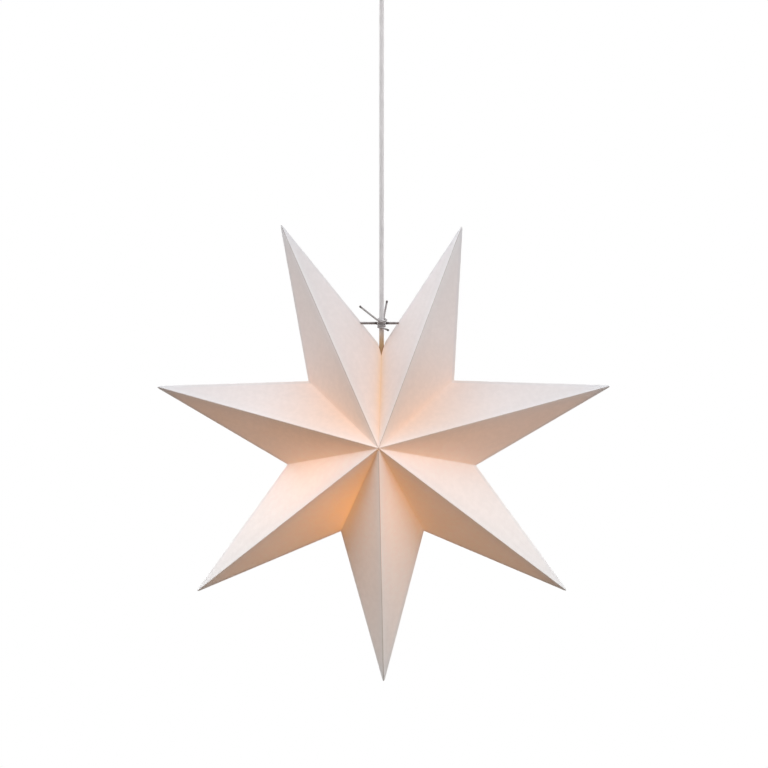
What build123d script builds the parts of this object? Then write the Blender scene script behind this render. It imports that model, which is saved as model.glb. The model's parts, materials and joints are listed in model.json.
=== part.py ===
from build123d import *
import math
import os

# A seven-pointed folded paper star lamp that hangs from the ceiling on its flex.
# Millimetres, +Z up. The origin is the middle of the ceiling face, so the whole lamp is below it.
# The star's axis runs along Y, with its front towards -Y, and the flex hangs on the Z axis.

# Paper star, folded by hand, so its points differ a little. They are counted anticlockwise
# from the seam at the top, seen from the front.
WEDGES = (49.3, 53.0, 52.7, 51.0, 51.4, 54.0, 48.6)      # degrees of each point, notch to notch
TIP_RADIUS = 312.0           # star axis to a tip
TIP_REACH = (7.5, -3.5, 3.0, 4.0, 0.5, -0.5, -5.0)      # what each tip adds to that
NOTCH_RADIUS = 126.6         # star axis to the notch between two points
STAR_DEPTH = 180.0           # front centre to back centre
STAR_DROP = 660.0            # ceiling to the star's axis
PAPER = 0.4                  # thickness of the paper
LEAN_ANGLE = 4.1             # degrees that the ties pull the last point towards the flex
CREASE_PLAY = 0.05           # room beside a folded crease
BACK_RIDGE_GAP = 3.0         # room beside a back ridge, where the fold is open
BACK_VALLEY_GAP = 0.9        # room beside a back valley, where the fold is open
CENTRE_CLIP = 2.0            # corner cut off at the front centre, along each edge
BACK_CENTRE_CLIP = 6.0       # the same at the back centre
TIP_CLIP = 6.0               # corner cut off at a tip
SEAM_CLIP_SIDE = 13.5        # corner cut off at the seam for the flex, along the side crease
SEAM_CLIP_VALLEY = 17.0      # the same, along the seam edge

# Flex, with two bend points near the ceiling
FLEX_DIAMETER = 6.2
FLEX_BEND_DROP = 132.0       # ceiling to the first bend point
FLEX_NECK = 14.0             # first bend point to the second
FLEX_BEND_GAP = 0.3          # room between the round nose below and the flat end above
WIRE_DIAMETER = 1.8          # insulated conductors of the flex
WIRE_PITCH = 2.8             # between the two conductors

# String tie
STRING_DIAMETER = 2.6
TIE_RISE = 158.0             # star axis to the tie
TIE_TURNS = 4                # turns of string round the flex
TIE_PITCH = 3.2
TIE_PLAY = 0.3               # room between the string and what it lies beside
STRING_HOLE = 5.0            # holes punched on the side creases for the string
STOPPER_DIAMETER = 6.8       # knot that stops the string inside a point
STOPPER_DEPTH = 7.6          # crease to the middle of that knot
LEFT_TAIL_TIP = (-26.0, -7.5, 18.0)     # from the middle of the tie
LOW_TAIL_TIP = (10.4, -6.4, -14.0)
BACK_TAIL_RISE = (-3.0, 26.0)
BACK_TAIL_REACH = (1.0, 7.8)

# Ceiling bracket
SCREW_SPACING = 58.0
SCREW_HOLE = 4.5
BRACKET_SHEET = 1.5
BRACKET_WIDTH = 18.0
BRACKET_DROP = 18.0          # ceiling to the underside of the bridge
BRIDGE_LENGTH = 36.0
FOOT_LENGTH = 22.0
EAR_REACH = 30.0             # bracket axis to the end of the ear
EAR_WIDTH = 24.0

# Gland that carries the flex
GLAND_STEM = 10.0
GLAND_FLANGE = 16.0
GLAND_FLANGE_LENGTH = 12.0
GLAND_PLAY = 0.2             # room round the stem, each side
FLEX_PLAY = 0.25             # room round the flex in a bore, each side
GLAND_NUT_FLATS = 14.0
GLAND_NUT_HEIGHT = 4.0
GRUB_DIAMETER = 3.0
GRUB_LENGTH = 5.0

# Terminal block on the ear
BLOCK_WIDTH = 20.0
BLOCK_DEPTH = 13.0
BLOCK_HEIGHT = 11.0
BLOCK_POLE_PITCH = 10.0
BLOCK_BORE = 3.0
BLOCK_WELL = 4.0
BLOCK_WELL_DEPTH = 3.4
BLOCK_SCREW_PITCH = 7.0
BLOCK_SCREW_PLAY = 0.2
BLOCK_SCREW_HEIGHT = 2.4
SCREW_SLOT = 0.7             # width and depth of a screw's slot
BLOCK_ROUND = 1.0
SUPPLY_BEND = 2.0            # bend radius of the conductors
SUPPLY_RISE = 5.0            # flex end to the top of the conductors' bend

# Canopy cup that hides the bracket, and its rubber grommet on the flex
CANOPY_RADIUS = 48.0
CANOPY_HEIGHT = 48.0
CANOPY_WALL = 1.2
CANOPY_ROUND = 26.0
CANOPY_RIM_GAP = 0.6         # ceiling to the rim
GROMMET_WAIST = 11.0
GROMMET_FLANGE = 17.0
GROMMET_FLANGE_HEIGHT = 2.5
GROMMET_TAPER_LENGTH = 17.0
GROMMET_MOUTH = 10.0
GROMMET_PLAY = 0.1
GROMMET_BORE_PLAY = 0.3

# Bulb, with a small screw cap
BULB_DIAMETER = 45.0
BULB_RISE = 0.0              # star axis to the middle of the globe
GLASS = 0.9
NECK_DIAMETER = 15.2
NECK_RISE = 29.0             # middle of the globe to the glass's end in the cap
CAP_RIM = 16.0
CAP_RIM_HEIGHT = 3.0
CAP_THREAD = 13.8
CAP_THREAD_DEPTH = 0.7
CAP_RIDGES = 5
CAP_PITCH = 2.82
CAP_CREST = 0.85             # flat on top of a ridge
CAP_WALL = 0.6
INSULATOR_HEIGHT = 3.5
INSULATOR_TOP = 8.0
CONTACT_DIAMETER = 4.8
CONTACT_HEIGHT = 1.6
STEM_DIAMETER = 9.0
STEM_TIP = 4.5
STEM_LENGTH = 17.0
STEM_FOOT = 1.5
STEM_PLAY = 0.15
FILAMENT_DIAMETER = 1.0
FILAMENT_SPAN = 16.0
FILAMENT_DROP = 20.0
FILAMENT_LEAD = 6.7          # straight stretch below the stem
FILAMENT_BEND = 3.0

# Lamp holder
HOLDER_DIAMETER = 28.0
HOLDER_WALL = 1.8
HOLDER_BORE_PLAY = 0.3       # room round the bulb cap, each side
HOLDER_CAP_HEIGHT = 30.0
HOLDER_CAP_ROUND = 9.0
SKIRT_NECK_HEIGHT = 6.0      # part of the skirt that screws into the cap
HOLDER_THREAD_PLAY = 0.15
RIM_PLAY = 0.6               # bulb cap rim to the skirt's mouth
CONTACT_PLAY = 0.2           # bulb contact to the spring above it
CONTACT_SHEET = 0.4
CONTACT_WIDTH = 4.0
CENTRE_CONTACT_LENGTH = 9.6
INSERT_HEIGHT = 8.0
INSERT_PLAY = 0.2
POST_DIAMETER = 4.4
POST_HEIGHT = 7.0
POST_PITCH = 11.0
POST_SET_BACK = 5.6
CLAMP_LENGTH = 15.4
CLAMP_WIDTH = 4.2
CLAMP_HEIGHT = 3.0
CLAMP_SCREW = 2.0
CLAMP_SCREW_HEAD = 3.8
CLAMP_HEAD_HEIGHT = 1.4
SHADE_RING_DIAMETER = 41.0
SHADE_RING_HEIGHT = 7.0
SHADE_RING_FLANGE = 2.0
SHADE_RING_PLAY = 0.2
SHADE_RING_RISE = 4.0        # skirt's mouth to the ring

# Places that follow from the sizes above
POINTS = len(WEDGES)
STAR_Z = -STAR_DROP
BULB_Z = STAR_Z + BULB_RISE
CAP_Z = BULB_Z + NECK_RISE
THREAD_Z = CAP_Z + CAP_RIM_HEIGHT
INSULATOR_Z = THREAD_Z + CAP_RIDGES * CAP_PITCH
CONTACT_Z = INSULATOR_Z + INSULATOR_HEIGHT
CONTACT_TOP = CONTACT_Z + CONTACT_HEIGHT
SKIRT_Z = THREAD_Z + RIM_PLAY
INSERT_Z = CONTACT_TOP + CONTACT_PLAY + CONTACT_SHEET
INSERT_TOP = INSERT_Z + INSERT_HEIGHT
POST_TOP = INSERT_TOP + POST_HEIGHT
HOLDER_CAP_Z = INSERT_TOP + INSERT_PLAY
HOLDER_TOP = HOLDER_CAP_Z + HOLDER_CAP_HEIGHT
FLEX_END_Z = POST_TOP        # the flex ends beside the clamp
BRIDGE_TOP = -BRACKET_DROP + BRACKET_SHEET
NUT_TOP = BRIDGE_TOP + GLAND_NUT_HEIGHT
FLEX_TOP_Z = NUT_TOP + CREASE_PLAY
GRUB_Z = -BRACKET_DROP - GLAND_FLANGE_LENGTH / 2
CANOPY_TOP = -CANOPY_RIM_GAP
CANOPY_BOTTOM = CANOPY_TOP - CANOPY_HEIGHT
TIE_Z = STAR_Z + TIE_RISE
BEND_1_Z = -FLEX_BEND_DROP
BEND_2_Z = BEND_1_Z - FLEX_NECK
FLEX_RADIUS = FLEX_DIAMETER / 2
STRING_RADIUS = STRING_DIAMETER / 2
TIE_RADIUS = FLEX_RADIUS + TIE_PLAY + STRING_RADIUS
TIE_OUTSIDE = TIE_RADIUS + STRING_RADIUS

FRONT = Vector(0, -STAR_DEPTH / 2, STAR_Z)
BACK = Vector(0, STAR_DEPTH / 2, STAR_Z)
MIDDLE = Vector(0, 0, STAR_Z)


def on_star(radius, turn):
    """A point in the star's middle plane, by its turn in degrees from the top, to the left from the front."""
    angle = math.radians(turn)
    return Vector(-radius * math.sin(angle), 0, STAR_Z + radius * math.cos(angle))


def tip(point):
    """The tip of a point: in the middle of its wedge, but the last point leans."""
    turn = sum(WEDGES[:point - 1]) + WEDGES[point - 1] / 2
    if point == POINTS:
        turn += LEAN_ANGLE
    return on_star(TIP_RADIUS + TIP_REACH[point - 1], turn)


def notch(point, side):
    """The notch at the right or left of a point, seen from the front with that point on top."""
    before = point - 1 if side == "right" else point
    return on_star(NOTCH_RADIUS, sum(WEDGES[:before]))


def crease_angle(start, end, first, second):
    """Angle in radians between the two sheets that meet on a crease and reach two given points."""
    along = (end - start).normalized()
    arms = [(p - start) - along * (p - start).dot(along) for p in (first, second)]
    return math.radians(arms[0].get_angle(arms[1]))


def inset_corner(corner, one, other, gap_one, gap_other):
    """A corner moved in by a gap from each of its two edges, which run to one and to other."""
    u, w = (one - corner).normalized(), (other - corner).normalized()
    sine = u.cross(w).length
    return corner + u * (gap_other / sine) + w * (gap_one / sine)


def cut_corner(corner, one, other, along_one, along_other):
    """The two points that replace a corner that is cut off."""
    return [corner + (one - corner).normalized() * along_one,
            corner + (other - corner).normalized() * along_other]


def panel(point, face, side):
    """One flat sheet of a point: outer face on its tip, its notch and the star's centre."""
    centre = FRONT if face == "front" else BACK
    top, foot = tip(point), notch(point, side)
    on_seam = (point, side) in ((1, "right"), (POINTS, "left"))
    ridge = crease_angle(top, centre, notch(point, "right"), notch(point, "left"))
    edge = crease_angle(top, foot, FRONT, BACK)
    # A mountain crease turns on the inner faces, so its sheets stop where those faces meet.
    side_gap = PAPER / math.tan(edge / 2) + CREASE_PLAY
    ridge_gap = PAPER / math.tan(ridge / 2) + CREASE_PLAY if face == "front" else BACK_RIDGE_GAP
    valley_gap = CREASE_PLAY if face == "front" else BACK_VALLEY_GAP
    clip = CENTRE_CLIP if face == "front" else BACK_CENTRE_CLIP
    t = inset_corner(top, centre, foot, ridge_gap, side_gap)
    c = inset_corner(centre, top, foot, ridge_gap, valley_gap)
    n = inset_corner(foot, centre, top, valley_gap, side_gap)
    outline = cut_corner(t, n, c, TIP_CLIP, TIP_CLIP) + cut_corner(c, t, n, clip, clip)
    outline += cut_corner(n, c, t, SEAM_CLIP_VALLEY, SEAM_CLIP_SIDE) if on_seam else [n]
    inward = (c - t).cross(n - t).normalized()
    if inward.dot(MIDDLE - t) < 0:
        inward = -inward
    sheet = extrude(Face(Wire.make_polygon(outline)), amount=PAPER, dir=inward)
    if on_seam:
        hole = tie_point(point)
        sheet -= Pos(*hole) * Rot(0, 90, 0) * Cylinder(STRING_HOLE / 2, 2 * STOPPER_DEPTH)
    return sheet


def tie_point(point):
    """Where the string passes through the side crease of a seam point, at the height of the tie."""
    side = "right" if point == 1 else "left"
    top, foot = tip(point), notch(point, side)
    return foot + (top - foot) * ((TIE_Z - foot.Z) / (top.Z - foot.Z))


def rod(x, y, low, high, diameter):
    """An upright round bar between two heights."""
    return Pos(x, y, (low + high) / 2) * Cylinder(diameter / 2, high - low)


def ring(low, high, outside, inside):
    """An upright tube between two heights."""
    return rod(0, 0, low, high, outside) - rod(0, 0, low, high, inside)


def block(x, y, low, high, length, width):
    """A box on its X and Y middle, between two heights."""
    return Pos(x, y, (low + high) / 2) * Box(length, width, high - low)


def turned(outline):
    """A solid turned about the Z axis from (radius, height) corners."""
    return revolve(Face(Wire.make_polygon([Vector(r, 0, z) for r, z in outline])), Axis.Z)


def tube(path, diameter):
    """A round tube along a path that starts straight."""
    start = Plane(origin=path @ 0, z_dir=path % 0)
    return sweep(start * Circle(diameter / 2), path)


def nosed_flex(nose, low):
    """A stretch of flex that hangs from a bend point, with a round nose there."""
    return rod(0, 0, low, nose, FLEX_DIAMETER) + Pos(0, 0, nose) * Sphere(FLEX_RADIUS)


def biarc(p, p_way, q, q_way):
    """Two arcs that leave p along p_way, meet smoothly and reach q along q_way."""
    chord, ways = q - p, p_way + q_way
    a = 2 * (p_way.dot(q_way) - 1)
    b = -2 * chord.dot(ways)
    c = chord.dot(chord)
    reach = -c / b if abs(a) < 1e-9 else (-b - math.sqrt(b * b - 4 * a * c)) / (2 * a)
    start, end = p + p_way * reach, q - q_way * reach
    joint = (start + end) * 0.5
    return [TangentArc(p, joint, tangent=p_way), TangentArc(joint, q, tangent=end - start)]


def tie_path():
    """The string of the tie: a low tail, the turns round the flex from below, and the left tail."""
    height = TIE_TURNS * TIE_PITCH
    climb = TIE_PITCH / (2 * math.pi)
    stations = []
    for quarter in range(4 * TIE_TURNS + 1):
        angle = -math.pi / 2 - quarter * math.pi / 2
        place = Vector(TIE_RADIUS * math.cos(angle), TIE_RADIUS * math.sin(angle),
                       TIE_Z - height / 2 + quarter * TIE_PITCH / 4)
        way = Vector(TIE_RADIUS * math.sin(angle), -TIE_RADIUS * math.cos(angle), climb).normalized()
        stations.append((place, way))
    first, last = stations[0], stations[-1]
    low_tip = Vector(*LOW_TAIL_TIP) + Vector(0, 0, TIE_Z)
    left_tip = Vector(*LEFT_TAIL_TIP) + Vector(0, 0, TIE_Z)
    low_way = (first[0] - low_tip).normalized()
    left_way = (left_tip - last[0]).normalized()
    low_end = low_tip + low_way * STRING_DIAMETER
    left_end = left_tip - left_way * STRING_DIAMETER
    stations = [(low_end, low_way)] + stations + [(left_end, left_way)]
    edges = [Line(low_tip, low_end)]
    for (p, p_way), (q, q_way) in zip(stations, stations[1:]):
        edges += biarc(p, p_way, q, q_way)
    edges.append(Line(left_end, left_tip))
    return Wire(edges)


def least_self_gap(path, diameter, samples=700):
    """Least distance between a tube's own surfaces, over points further apart than a bend."""
    places = [path @ (i / samples) for i in range(samples + 1)]
    skip = int(math.pi * diameter / (path.length / samples)) + 1
    return min((places[i] - places[j]).length
               for i in range(len(places)) for j in range(i + skip, len(places))) - diameter


def tie_wrap():
    path = tie_path()
    string = tube(path, STRING_DIAMETER)
    print("tie string", round(path.length, 1), "mm, least gap to itself",
          round(least_self_gap(path, STRING_DIAMETER), 2), "mm, volume over section times length",
          round(string.volume / (math.pi * STRING_RADIUS ** 2 * path.length), 4))
    return string


def tie_tail():
    """The other string's end, which stands up behind the turns."""
    back = TIE_OUTSIDE + TIE_PLAY + STRING_RADIUS
    ends = [Vector(x, back, TIE_Z + z) for x, z in zip(BACK_TAIL_REACH, BACK_TAIL_RISE)]
    return tube(Wire([Line(*ends)]), STRING_DIAMETER)


def tie_leg(point):
    """The string from the turns round the flex to its stopper knot inside a seam point."""
    hole = tie_point(point)
    outward = -1 if point == 1 else 1
    start = Vector(outward * (TIE_OUTSIDE + TIE_PLAY), 0, TIE_Z)
    knot = Vector(hole.X + outward * STOPPER_DEPTH, 0, TIE_Z)
    return tube(Wire([Line(start, knot)]), STRING_DIAMETER) + Pos(*knot) * Sphere(STOPPER_DIAMETER / 2)


def ceiling_bracket():
    """A hat-shaped strap: two feet on the ceiling and a dropped bridge with an ear."""
    bridge = block(0, 0, -BRACKET_DROP, BRIDGE_TOP, BRIDGE_LENGTH, BRACKET_WIDTH)
    ear_width = EAR_REACH - BRACKET_WIDTH / 2
    strap = bridge + block(0, EAR_REACH - ear_width / 2, -BRACKET_DROP, BRIDGE_TOP, EAR_WIDTH, ear_width)
    for way in (-1, 1):
        web = way * (BRIDGE_LENGTH - BRACKET_SHEET) / 2
        foot = way * (BRIDGE_LENGTH / 2 - BRACKET_SHEET + FOOT_LENGTH / 2)
        strap += block(web, 0, -BRACKET_DROP, 0, BRACKET_SHEET, BRACKET_WIDTH)
        strap += block(foot, 0, -BRACKET_SHEET, 0, FOOT_LENGTH, BRACKET_WIDTH)
    for way in (-1, 1):
        strap -= rod(way * SCREW_SPACING / 2, 0, -BRACKET_DROP, BRACKET_SHEET, SCREW_HOLE)
    return strap - rod(0, 0, -2 * BRACKET_DROP, 0, GLAND_STEM + 2 * GLAND_PLAY)


def cord_gland():
    """A flanged stem through the bridge, bored for the flex, with a hole for the grub screw."""
    low = -BRACKET_DROP - GLAND_FLANGE_LENGTH
    body = rod(0, 0, low, -BRACKET_DROP, GLAND_FLANGE) + rod(0, 0, low, NUT_TOP, GLAND_STEM)
    body -= rod(0, 0, low, NUT_TOP, FLEX_DIAMETER + 2 * FLEX_PLAY)
    return body - grub(GRUB_DIAMETER + 2 * GLAND_PLAY, GLAND_FLANGE)


def grub(diameter, length):
    """A bar along X that starts beside the flex."""
    start = FLEX_RADIUS + FLEX_PLAY / 2
    return Pos(start + length / 2, 0, GRUB_Z) * Rot(0, 90, 0) * Cylinder(diameter / 2, length)


def gland_nut():
    hexagon = RegularPolygon(GLAND_NUT_FLATS / 2, 6, major_radius=False)
    nut = extrude(Plane.XY.offset(BRIDGE_TOP) * hexagon, amount=GLAND_NUT_HEIGHT, dir=(0, 0, 1))
    return nut - rod(0, 0, BRIDGE_TOP, NUT_TOP, GLAND_STEM + GLAND_PLAY)


def gland_screw():
    screw = grub(GRUB_DIAMETER, GRUB_LENGTH)
    outer_end = screw.bounding_box().max.X
    return screw - Pos(outer_end, 0, GRUB_Z) * Box(2 * SCREW_SLOT, SCREW_SLOT, GRUB_DIAMETER)


BLOCK_Y = EAR_REACH - BLOCK_DEPTH / 2
POLES = (-BLOCK_POLE_PITCH / 2, BLOCK_POLE_PITCH / 2)
POLE_SCREWS = (BLOCK_Y - BLOCK_SCREW_PITCH / 2, BLOCK_Y + BLOCK_SCREW_PITCH / 2)
BORE_Z = BRIDGE_TOP + BLOCK_BORE


def terminal_block():
    """A two-pole block: a wire bore and two screw wells for each pole."""
    top = BRIDGE_TOP + BLOCK_HEIGHT
    body = block(0, BLOCK_Y, BRIDGE_TOP, top, BLOCK_WIDTH, BLOCK_DEPTH)
    body = fillet(body.edges().filter_by(Axis.Z), BLOCK_ROUND)
    for x in POLES:
        body -= Pos(x, BLOCK_Y, BORE_Z) * Rot(90, 0, 0) * Cylinder(BLOCK_BORE / 2, 2 * BLOCK_DEPTH)
        for y in POLE_SCREWS:
            body -= rod(x, y, top - BLOCK_WELL_DEPTH, top, BLOCK_WELL)
    return body


def terminal_screws():
    """Four slotted screws at the bottom of their wells."""
    seat = BRIDGE_TOP + BLOCK_HEIGHT - BLOCK_WELL_DEPTH
    head = BLOCK_WELL - 2 * BLOCK_SCREW_PLAY
    screws = []
    for x in POLES:
        for y in POLE_SCREWS:
            top = seat + BLOCK_SCREW_HEIGHT
            slot = block(x, y, top - SCREW_SLOT, top, SCREW_SLOT, head)
            screws.append(rod(x, y, seat, top, head) - slot)
    return Compound(children=screws)


def supply_wires():
    """The flex's two conductors, from its end over the nut and into the terminal block."""
    wires = []
    for way in (-1, 1):
        near, far = way * WIRE_PITCH / 2, way * BLOCK_POLE_PITCH / 2
        entry = BLOCK_Y - BLOCK_DEPTH / 2
        route = [(near, 0, FLEX_TOP_Z), (near, 0, FLEX_TOP_Z + SUPPLY_RISE),
                 (far, entry - 3 * SUPPLY_BEND, FLEX_TOP_Z + SUPPLY_RISE - SUPPLY_BEND),
                 (far, entry - SUPPLY_BEND / 2, BORE_Z), (far, BLOCK_Y, BORE_Z)]
        wires.append(tube(FilletPolyline(*route, radius=SUPPLY_BEND).wire(), WIRE_DIAMETER))
    print("conductor bend radius", SUPPLY_BEND, "mm")
    return Compound(children=wires)


def canopy_cup():
    """A spun cup with a round lower corner and a hole for the grommet's waist."""
    def solid(radius, top, bottom, corner):
        cup = rod(0, 0, bottom, top, 2 * radius)
        return fillet(cup.edges().sort_by(Axis.Z)[0], corner)
    outer = solid(CANOPY_RADIUS, CANOPY_TOP, CANOPY_BOTTOM, CANOPY_ROUND)
    inner = solid(CANOPY_RADIUS - CANOPY_WALL, CANOPY_TOP, CANOPY_BOTTOM + CANOPY_WALL,
                  CANOPY_ROUND - CANOPY_WALL)
    return outer - inner - rod(0, 0, CANOPY_BOTTOM, CANOPY_TOP, GROMMET_WAIST + 2 * GROMMET_PLAY)


def canopy_grommet():
    """A rubber grommet: a flange inside the cup, a waist in its hole and a taper below."""
    floor = CANOPY_BOTTOM + CANOPY_WALL
    low = CANOPY_BOTTOM - GROMMET_TAPER_LENGTH
    bore = FLEX_RADIUS + GROMMET_BORE_PLAY
    return turned([(bore, low), (GROMMET_MOUTH / 2, low), (GROMMET_FLANGE / 2, CANOPY_BOTTOM),
                   (GROMMET_WAIST / 2, CANOPY_BOTTOM), (GROMMET_WAIST / 2, floor),
                   (GROMMET_FLANGE / 2, floor), (GROMMET_FLANGE / 2, floor + GROMMET_FLANGE_HEIGHT),
                   (bore, floor + GROMMET_FLANGE_HEIGHT)])


def flex_top():
    low = BEND_1_Z + FLEX_RADIUS + FLEX_BEND_GAP
    return rod(0, 0, low, FLEX_TOP_Z, FLEX_DIAMETER)


def flex_neck():
    return nosed_flex(BEND_1_Z, BEND_2_Z + FLEX_RADIUS + FLEX_BEND_GAP)


def flex_cord():
    return nosed_flex(BEND_2_Z, FLEX_END_Z)


def bulb_globe():
    """A blown globe that draws in to a neck, hollow and open at the cap."""
    def blown(radius, neck):
        return Pos(0, 0, BULB_Z) * Sphere(radius) + rod(0, 0, BULB_Z, CAP_Z, 2 * neck)
    outer = blown(BULB_DIAMETER / 2, NECK_DIAMETER / 2)
    return outer - blown(BULB_DIAMETER / 2 - GLASS, NECK_DIAMETER / 2 - GLASS)


def bulb_cap():
    """A pressed screw cap: a rim under the glass and round ridges up to the insulator."""
    crest, root = CAP_THREAD / 2, CAP_THREAD / 2 - CAP_THREAD_DEPTH
    inside = root - CAP_WALL
    outline = [(inside, CAP_Z), (CAP_RIM / 2, CAP_Z), (CAP_RIM / 2, CAP_Z + CAP_RIM_HEIGHT / 2),
               (root, THREAD_Z)]
    for ridge in range(CAP_RIDGES):
        low, high = THREAD_Z + ridge * CAP_PITCH, THREAD_Z + (ridge + 1) * CAP_PITCH
        slope = (CAP_PITCH - CAP_CREST) / 2
        outline += [(crest, low + slope), (crest, high - slope), (root, high)]
    return turned(outline + [(inside, INSULATOR_Z)])


def bulb_insulator():
    root = CAP_THREAD / 2 - CAP_THREAD_DEPTH
    return turned([(0, INSULATOR_Z), (root, INSULATOR_Z), (INSULATOR_TOP / 2, CONTACT_Z), (0, CONTACT_Z)])


def bulb_contact():
    return rod(0, 0, CONTACT_Z, CONTACT_TOP, CONTACT_DIAMETER)


def bulb_stem():
    """The glass stem inside the neck: a foot against the neck's wall and a tapered mount."""
    foot = NECK_DIAMETER / 2 - GLASS - STEM_PLAY
    low = CAP_Z - STEM_FOOT
    return turned([(0, CAP_Z), (foot, CAP_Z), (foot, low), (STEM_DIAMETER / 2, low),
                   (STEM_TIP / 2, CAP_Z - STEM_LENGTH), (0, CAP_Z - STEM_LENGTH)])


def bulb_filament():
    """A wire that leaves the stem's tip, opens to the filament's span and comes back."""
    top = CAP_Z - STEM_LENGTH
    near, wide = STEM_TIP / 4, FILAMENT_SPAN / 2
    low = top - FILAMENT_DROP
    route = [(-near, 0, top), (-near, 0, top - FILAMENT_LEAD), (-wide, 0, low), (wide, 0, low),
             (near, 0, top - FILAMENT_LEAD), (near, 0, top)]
    return tube(FilletPolyline(*route, radius=FILAMENT_BEND).wire(), FILAMENT_DIAMETER)


HOLDER_BORE = CAP_THREAD + 2 * HOLDER_BORE_PLAY
INSERT_SEAT = HOLDER_DIAMETER - 2 * HOLDER_WALL - 2 * HOLDER_WALL


def holder_skirt():
    """The lower shell: a bore for the bulb cap, a seat for the insert and a neck for the cap."""
    neck = INSERT_SEAT + 2 * HOLDER_WALL - 2 * HOLDER_THREAD_PLAY
    body = rod(0, 0, SKIRT_Z, INSERT_TOP, HOLDER_DIAMETER)
    body += rod(0, 0, INSERT_TOP, INSERT_TOP + SKIRT_NECK_HEIGHT, neck)
    body -= rod(0, 0, SKIRT_Z, INSERT_Z, HOLDER_BORE)
    body -= rod(0, 0, INSERT_Z, INSERT_TOP + SKIRT_NECK_HEIGHT, INSERT_SEAT)
    return body - side_strip(CONTACT_SHEET + CONTACT_PLAY, CONTACT_WIDTH + 2 * CONTACT_PLAY, SKIRT_Z)


def side_strip(sheet, width, low):
    """A strip along the bore's wall on the right, from a height up to the insert."""
    inner = HOLDER_BORE / 2 - CONTACT_PLAY / 2
    return block(inner + sheet / 2, 0, low, INSERT_Z, sheet, width)


def side_contact():
    return side_strip(CONTACT_SHEET, CONTACT_WIDTH, THREAD_Z + CAP_PITCH)


def centre_contact():
    return block(0, 0, INSERT_Z - CONTACT_SHEET, INSERT_Z, CENTRE_CONTACT_LENGTH, CONTACT_WIDTH)


def holder_insert():
    """A disc on the skirt's seat with two posts for the cord clamp."""
    disc = rod(0, 0, INSERT_Z, INSERT_TOP, INSERT_SEAT - 2 * INSERT_PLAY)
    for x in (-POST_PITCH / 2, POST_PITCH / 2):
        disc += rod(x, POST_SET_BACK, INSERT_TOP, POST_TOP, POST_DIAMETER)
        disc -= rod(x, POST_SET_BACK, INSERT_TOP, POST_TOP, CLAMP_SCREW)
    return disc


def cord_clamp():
    bar = block(0, POST_SET_BACK, POST_TOP, POST_TOP + CLAMP_HEIGHT, CLAMP_LENGTH, CLAMP_WIDTH)
    for x in (-POST_PITCH / 2, POST_PITCH / 2):
        bar -= rod(x, POST_SET_BACK, POST_TOP, POST_TOP + CLAMP_HEIGHT, CLAMP_SCREW)
    return bar


def clamp_screws():
    """Two round-headed screws through the clamp into the posts."""
    seat = POST_TOP + CLAMP_HEIGHT
    screws = []
    for x in (-POST_PITCH / 2, POST_PITCH / 2):
        shank = rod(x, POST_SET_BACK, INSERT_TOP + CLAMP_SCREW, seat, CLAMP_SCREW)
        head = rod(x, POST_SET_BACK, seat, seat + CLAMP_HEAD_HEIGHT, CLAMP_SCREW_HEAD)
        top = seat + CLAMP_HEAD_HEIGHT
        slot = block(x, POST_SET_BACK, top - SCREW_SLOT, top, CLAMP_SCREW_HEAD, SCREW_SLOT)
        screws.append(shank + head - slot)
    return Compound(children=screws)


def holder_wires():
    """The two conductors between the flex's end and the insert."""
    return Compound(children=[rod(way * WIRE_PITCH / 2, 0, INSERT_TOP, FLEX_END_Z, WIRE_DIAMETER)
                              for way in (-1, 1)])


def holder_cap():
    """The upper shell: a cup with a round top and a hole for the flex."""
    bore = INSERT_SEAT + 2 * HOLDER_WALL
    def solid(diameter, low, high, corner):
        return fillet(rod(0, 0, low, high, diameter).edges().sort_by(Axis.Z)[-1], corner)
    outer = solid(HOLDER_DIAMETER, HOLDER_CAP_Z, HOLDER_TOP, HOLDER_CAP_ROUND)
    inner = solid(bore, HOLDER_CAP_Z, HOLDER_TOP - HOLDER_WALL, HOLDER_CAP_ROUND - HOLDER_WALL)
    return outer - inner - rod(0, 0, HOLDER_CAP_Z, HOLDER_TOP, FLEX_DIAMETER + 2 * FLEX_PLAY)


def shade_ring():
    """A flanged ring on the skirt's thread."""
    low = SKIRT_Z + SHADE_RING_RISE
    bore = HOLDER_DIAMETER + 2 * SHADE_RING_PLAY
    collar = ring(low, low + SHADE_RING_HEIGHT, bore + 2 * HOLDER_WALL, bore)
    return collar + ring(low, low + SHADE_RING_FLANGE, SHADE_RING_DIAMETER, bore)


pieces = [ceiling_bracket, cord_gland, gland_nut, gland_screw, terminal_block, terminal_screws, supply_wires,
          canopy_cup, canopy_grommet, flex_top, flex_neck, flex_cord, holder_cap, holder_skirt, holder_insert,
          cord_clamp, clamp_screws, holder_wires, centre_contact, side_contact, shade_ring, bulb_contact,
          bulb_cap, bulb_insulator, bulb_globe, bulb_stem, bulb_filament, tie_wrap, tie_tail]
nodes = {make.__name__: make() for make in pieces}
nodes["tie_leg_left"] = tie_leg(1)
nodes["tie_leg_right"] = tie_leg(POINTS)
for point in range(1, POINTS + 1):
    for face in ("front", "back"):
        for side in ("right", "left"):
            nodes[f"point_{point}_{face}_{side}"] = panel(point, face, side)

os.makedirs("parts", exist_ok=True)
for name, shape in nodes.items():
    export_step(shape, f"parts/{name}.step")
print(len(nodes), "nodes, flex from", round(FLEX_TOP_Z, 1), "to", round(FLEX_END_Z, 1))
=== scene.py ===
# %% [markdown]
# # A lit paper star that hangs from the ceiling
# The lamp is a star of folded white paper with seven points, a bulb inside it, a white flex and a string tie at the
# open seam on top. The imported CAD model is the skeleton: it says where each piece is and how it moves. This lesson
# dresses it with paper that has thickness and soft creases, twisted string, a smooth flex and a finish for every
# part. Everything is in metres and in the CAD's own frame, so nothing has to be fitted by eye.

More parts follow.
